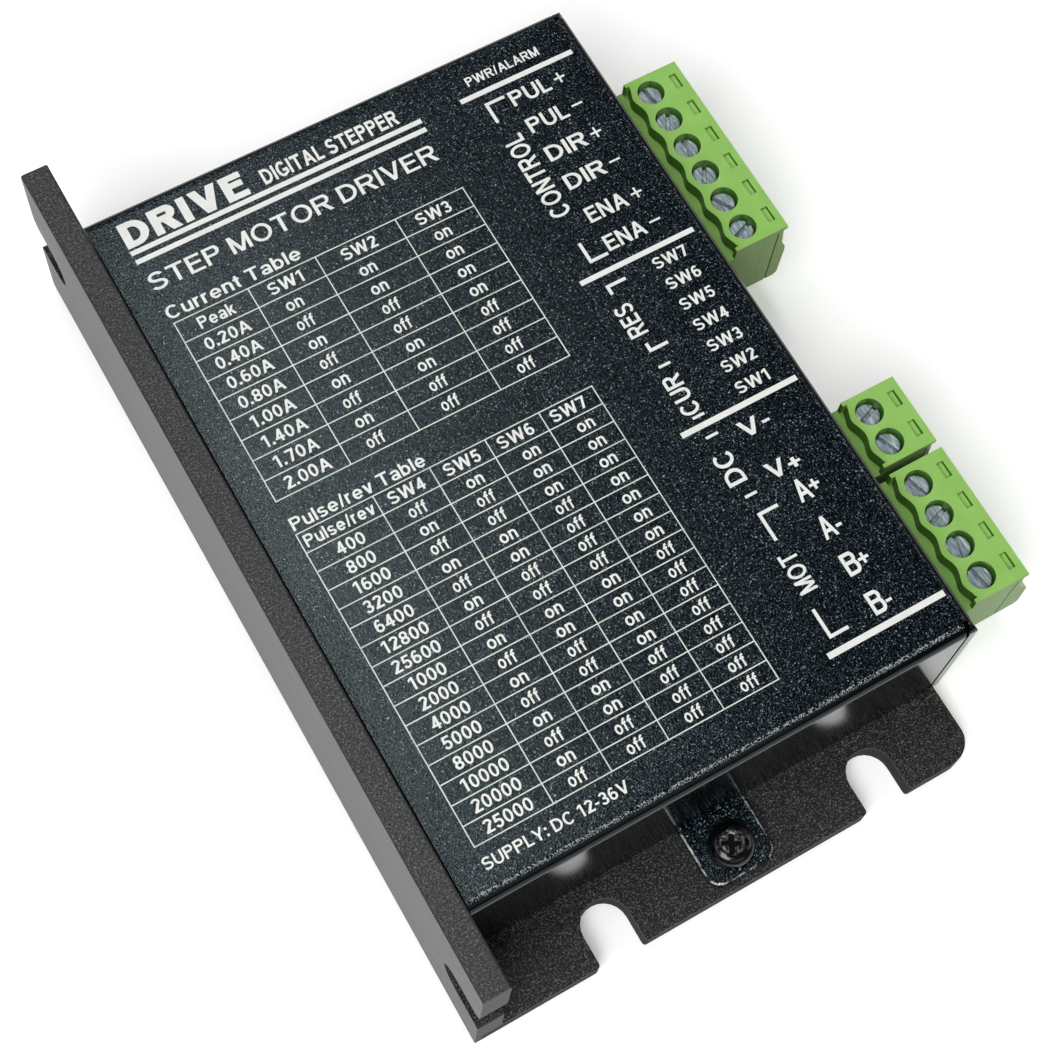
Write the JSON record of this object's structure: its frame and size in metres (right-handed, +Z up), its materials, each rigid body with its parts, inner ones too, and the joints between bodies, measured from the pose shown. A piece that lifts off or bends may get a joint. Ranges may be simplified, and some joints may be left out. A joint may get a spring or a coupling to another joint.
{
  "type": "stepper driver module",
  "caption": "Boxed stepper motor driver: L-section heat sink with open-ended mounting slots, folded black cover, and pluggable screw-terminal blocks along one side.",
  "frame": {"origin": "centre of the base footprint on the underside of the heat sink plate", "axes": "+X towards the terminal side, +Y along the long side towards the signal terminals, +Z up out of the plate"},
  "size_m": [0.0721, 0.096, 0.0238],
  "materials": {
    "heatsink_black": "black, fine blasted grain",
    "cover_black": "black fine-texture powder coat",
    "screw_black": "blackened steel",
    "screw_steel": "zinc plated",
    "brass": "plain",
    "board": "solder-resist coated laminate",
    "terminal_green": "moulded, satin",
    "zinc": "bright zinc plate",
    "switch_body": "moulded",
    "switch_lever": "moulded",
    "lens_green": "tinted lens",
    "lens_red": "tinted lens",
    "can": "drawn can with sleeve",
    "ferrite": "sintered",
    "pad": "soft gap filler",
    "chip": "moulded package"
  },
  "bodies": {
    "root": {"buck_inductor": "ferrite", "bulk_capacitor": "can", "cover": "cover_black", "cover_screw_far": "screw_black", "cover_screw_near": "screw_black", "dip_body": "switch_body", "driver_chip": "chip", "header_motor": "terminal_green", "header_power": "terminal_green", "header_signal": "terminal_green", "heatsink_base": "heatsink_black", "led_alarm": "lens_red", "led_power": "lens_green", "microcontroller": "chip", "optocoupler_1": "chip", "optocoupler_2": "chip", "optocoupler_3": "chip", "pcb": "board", "pcb_screw_far": "screw_steel", "pcb_screw_near": "screw_steel", "pcb_spacer_far": "brass", "pcb_spacer_near": "brass", "regulator": "chip", "sense_resistor": "ferrite", "thermal_pad": "pad"},
    "plug_signal_body": {"plug_signal": "terminal_green"},
    "screw_signal_1_body": {"screw_signal_1": "zinc"},
    "cage_signal_1_body": {"cage_signal_1": "zinc"},
    "screw_signal_2_body": {"screw_signal_2": "zinc"},
    "cage_signal_2_body": {"cage_signal_2": "zinc"},
    "screw_signal_3_body": {"screw_signal_3": "zinc"},
    "cage_signal_3_body": {"cage_signal_3": "zinc"},
    "screw_signal_4_body": {"screw_signal_4": "zinc"},
    "cage_signal_4_body": {"cage_signal_4": "zinc"},
    "screw_signal_5_body": {"screw_signal_5": "zinc"},
    "cage_signal_5_body": {"cage_signal_5": "zinc"},
    "screw_signal_6_body": {"screw_signal_6": "zinc"},
    "cage_signal_6_body": {"cage_signal_6": "zinc"},
    "plug_power_body": {"plug_power": "terminal_green"},
    "screw_power_1_body": {"screw_power_1": "zinc"},
    "cage_power_1_body": {"cage_power_1": "zinc"},
    "screw_power_2_body": {"screw_power_2": "zinc"},
    "cage_power_2_body": {"cage_power_2": "zinc"},
    "plug_motor_body": {"plug_motor": "terminal_green"},
    "screw_motor_1_body": {"screw_motor_1": "zinc"},
    "cage_motor_1_body": {"cage_motor_1": "zinc"},
    "screw_motor_2_body": {"screw_motor_2": "zinc"},
    "cage_motor_2_body": {"cage_motor_2": "zinc"},
    "screw_motor_3_body": {"screw_motor_3": "zinc"},
    "cage_motor_3_body": {"cage_motor_3": "zinc"},
    "screw_motor_4_body": {"screw_motor_4": "zinc"},
    "cage_motor_4_body": {"cage_motor_4": "zinc"},
    "dip_lever_1_body": {"dip_lever_1": "switch_lever"},
    "dip_lever_2_body": {"dip_lever_2": "switch_lever"},
    "dip_lever_3_body": {"dip_lever_3": "switch_lever"},
    "dip_lever_4_body": {"dip_lever_4": "switch_lever"},
    "dip_lever_5_body": {"dip_lever_5": "switch_lever"},
    "dip_lever_6_body": {"dip_lever_6": "switch_lever"},
    "dip_lever_7_body": {"dip_lever_7": "switch_lever"}
  },
  "joints": [
    {"name": "plug_signal_pull", "type": "slide", "parent": "root", "child": "plug_signal_body", "axis": [1, 0, 0], "range_m": [0, 0.009]},
    {"name": "screw_signal_1_turn", "type": "hinge", "parent": "plug_signal_body", "child": "screw_signal_1_body", "pos_m": [0.0357, 0.0299, 0.0155], "axis": [0, 0, 1], "range_deg": [0, 725]},
    {"name": "cage_signal_1_lift", "type": "slide", "parent": "plug_signal_body", "child": "cage_signal_1_body", "axis": [0, 0, 1], "range_m": [-0.0008, 0]},
    {"name": "screw_signal_2_turn", "type": "hinge", "parent": "plug_signal_body", "child": "screw_signal_2_body", "pos_m": [0.0357, 0.02609, 0.0155], "axis": [0, 0, 1], "range_deg": [0, 725]},
    {"name": "cage_signal_2_lift", "type": "slide", "parent": "plug_signal_body", "child": "cage_signal_2_body", "axis": [0, 0, 1], "range_m": [-0.0008, 0]},
    {"name": "screw_signal_3_turn", "type": "hinge", "parent": "plug_signal_body", "child": "screw_signal_3_body", "pos_m": [0.0357, 0.02228, 0.0155], "axis": [0, 0, 1], "range_deg": [0, 725]},
    {"name": "cage_signal_3_lift", "type": "slide", "parent": "plug_signal_body", "child": "cage_signal_3_body", "axis": [0, 0, 1], "range_m": [-0.0008, 0]},
    {"name": "screw_signal_4_turn", "type": "hinge", "parent": "plug_signal_body", "child": "screw_signal_4_body", "pos_m": [0.0357, 0.01847, 0.0155], "axis": [0, 0, 1], "range_deg": [0, 725]},
    {"name": "cage_signal_4_lift", "type": "slide", "parent": "plug_signal_body", "child": "cage_signal_4_body", "axis": [0, 0, 1], "range_m": [-0.0008, 0]},
    {"name": "screw_signal_5_turn", "type": "hinge", "parent": "plug_signal_body", "child": "screw_signal_5_body", "pos_m": [0.0357, 0.01466, 0.0155], "axis": [0, 0, 1], "range_deg": [0, 725]},
    {"name": "cage_signal_5_lift", "type": "slide", "parent": "plug_signal_body", "child": "cage_signal_5_body", "axis": [0, 0, 1], "range_m": [-0.0008, 0]},
    {"name": "screw_signal_6_turn", "type": "hinge", "parent": "plug_signal_body", "child": "screw_signal_6_body", "pos_m": [0.0357, 0.01085, 0.0155], "axis": [0, 0, 1], "range_deg": [0, 725]},
    {"name": "cage_signal_6_lift", "type": "slide", "parent": "plug_signal_body", "child": "cage_signal_6_body", "axis": [0, 0, 1], "range_m": [-0.0008, 0]},
    {"name": "plug_power_pull", "type": "slide", "parent": "root", "child": "plug_power_body", "axis": [1, 0, 0], "range_m": [0, 0.009]},
    {"name": "screw_power_1_turn", "type": "hinge", "parent": "plug_power_body", "child": "screw_power_1_body", "pos_m": [0.0357, -0.014, 0.0155], "axis": [0, 0, 1], "range_deg": [0, 725]},
    {"name": "cage_power_1_lift", "type": "slide", "parent": "plug_power_body", "child": "cage_power_1_body", "axis": [0, 0, 1], "range_m": [-0.0008, 0]},
    {"name": "screw_power_2_turn", "type": "hinge", "parent": "plug_power_body", "child": "screw_power_2_body", "pos_m": [0.0357, -0.01781, 0.0155], "axis": [0, 0, 1], "range_deg": [0, 725]},
    {"name": "cage_power_2_lift", "type": "slide", "parent": "plug_power_body", "child": "cage_power_2_body", "axis": [0, 0, 1], "range_m": [-0.0008, 0]},
    {"name": "plug_motor_pull", "type": "slide", "parent": "root", "child": "plug_motor_body", "axis": [1, 0, 0], "range_m": [0, 0.009]},
    {"name": "screw_motor_1_turn", "type": "hinge", "parent": "plug_motor_body", "child": "screw_motor_1_body", "pos_m": [0.0357, -0.0232, 0.0155], "axis": [0, 0, 1], "range_deg": [0, 725]},
    {"name": "cage_motor_1_lift", "type": "slide", "parent": "plug_motor_body", "child": "cage_motor_1_body", "axis": [0, 0, 1], "range_m": [-0.0008, 0]},
    {"name": "screw_motor_2_turn", "type": "hinge", "parent": "plug_motor_body", "child": "screw_motor_2_body", "pos_m": [0.0357, -0.02701, 0.0155], "axis": [0, 0, 1], "range_deg": [0, 725]},
    {"name": "cage_motor_2_lift", "type": "slide", "parent": "plug_motor_body", "child": "cage_motor_2_body", "axis": [0, 0, 1], "range_m": [-0.0008, 0]},
    {"name": "screw_motor_3_turn", "type": "hinge", "parent": "plug_motor_body", "child": "screw_motor_3_body", "pos_m": [0.0357, -0.03082, 0.0155], "axis": [0, 0, 1], "range_deg": [0, 725]},
    {"name": "cage_motor_3_lift", "type": "slide", "parent": "plug_motor_body", "child": "cage_motor_3_body", "axis": [0, 0, 1], "range_m": [-0.0008, 0]},
    {"name": "screw_motor_4_turn", "type": "hinge", "parent": "plug_motor_body", "child": "screw_motor_4_body", "pos_m": [0.0357, -0.03463, 0.0155], "axis": [0, 0, 1], "range_deg": [0, 725]},
    {"name": "cage_motor_4_lift", "type": "slide", "parent": "plug_motor_body", "child": "cage_motor_4_body", "axis": [0, 0, 1], "range_m": [-0.0008, 0]},
    {"name": "dip_lever_1_slide", "type": "slide", "parent": "root", "child": "dip_lever_1_body", "axis": [0, 0, 1], "range_m": [0, 0.0016]},
    {"name": "dip_lever_2_slide", "type": "slide", "parent": "root", "child": "dip_lever_2_body", "axis": [0, 0, 1], "range_m": [0, 0.0016]},
    {"name": "dip_lever_3_slide", "type": "slide", "parent": "root", "child": "dip_lever_3_body", "axis": [0, 0, 1], "range_m": [0, 0.0016]},
    {"name": "dip_lever_4_slide", "type": "slide", "parent": "root", "child": "dip_lever_4_body", "axis": [0, 0, 1], "range_m": [0, 0.0016]},
    {"name": "dip_lever_5_slide", "type": "slide", "parent": "root", "child": "dip_lever_5_body", "axis": [0, 0, 1], "range_m": [0, 0.0016]},
    {"name": "dip_lever_6_slide", "type": "slide", "parent": "root", "child": "dip_lever_6_body", "axis": [0, 0, 1], "range_m": [0, 0.0016]},
    {"name": "dip_lever_7_slide", "type": "slide", "parent": "root", "child": "dip_lever_7_body", "axis": [0, 0, 1], "range_m": [0, 0.0016]}
  ],
  "couplings": [
    {"joint": "screw_signal_1_turn", "follows": "cage_signal_1_lift", "rad_per_m": -15708},
    {"joint": "screw_signal_2_turn", "follows": "cage_signal_2_lift", "rad_per_m": -15708},
    {"joint": "screw_signal_3_turn", "follows": "cage_signal_3_lift", "rad_per_m": -15708},
    {"joint": "screw_signal_4_turn", "follows": "cage_signal_4_lift", "rad_per_m": -15708},
    {"joint": "screw_signal_5_turn", "follows": "cage_signal_5_lift", "rad_per_m": -15708},
    {"joint": "screw_signal_6_turn", "follows": "cage_signal_6_lift", "rad_per_m": -15708},
    {"joint": "screw_power_1_turn", "follows": "cage_power_1_lift", "rad_per_m": -15708},
    {"joint": "screw_power_2_turn", "follows": "cage_power_2_lift", "rad_per_m": -15708},
    {"joint": "screw_motor_1_turn", "follows": "cage_motor_1_lift", "rad_per_m": -15708},
    {"joint": "screw_motor_2_turn", "follows": "cage_motor_2_lift", "rad_per_m": -15708},
    {"joint": "screw_motor_3_turn", "follows": "cage_motor_3_lift", "rad_per_m": -15708},
    {"joint": "screw_motor_4_turn", "follows": "cage_motor_4_lift", "rad_per_m": -15708}
  ]
}
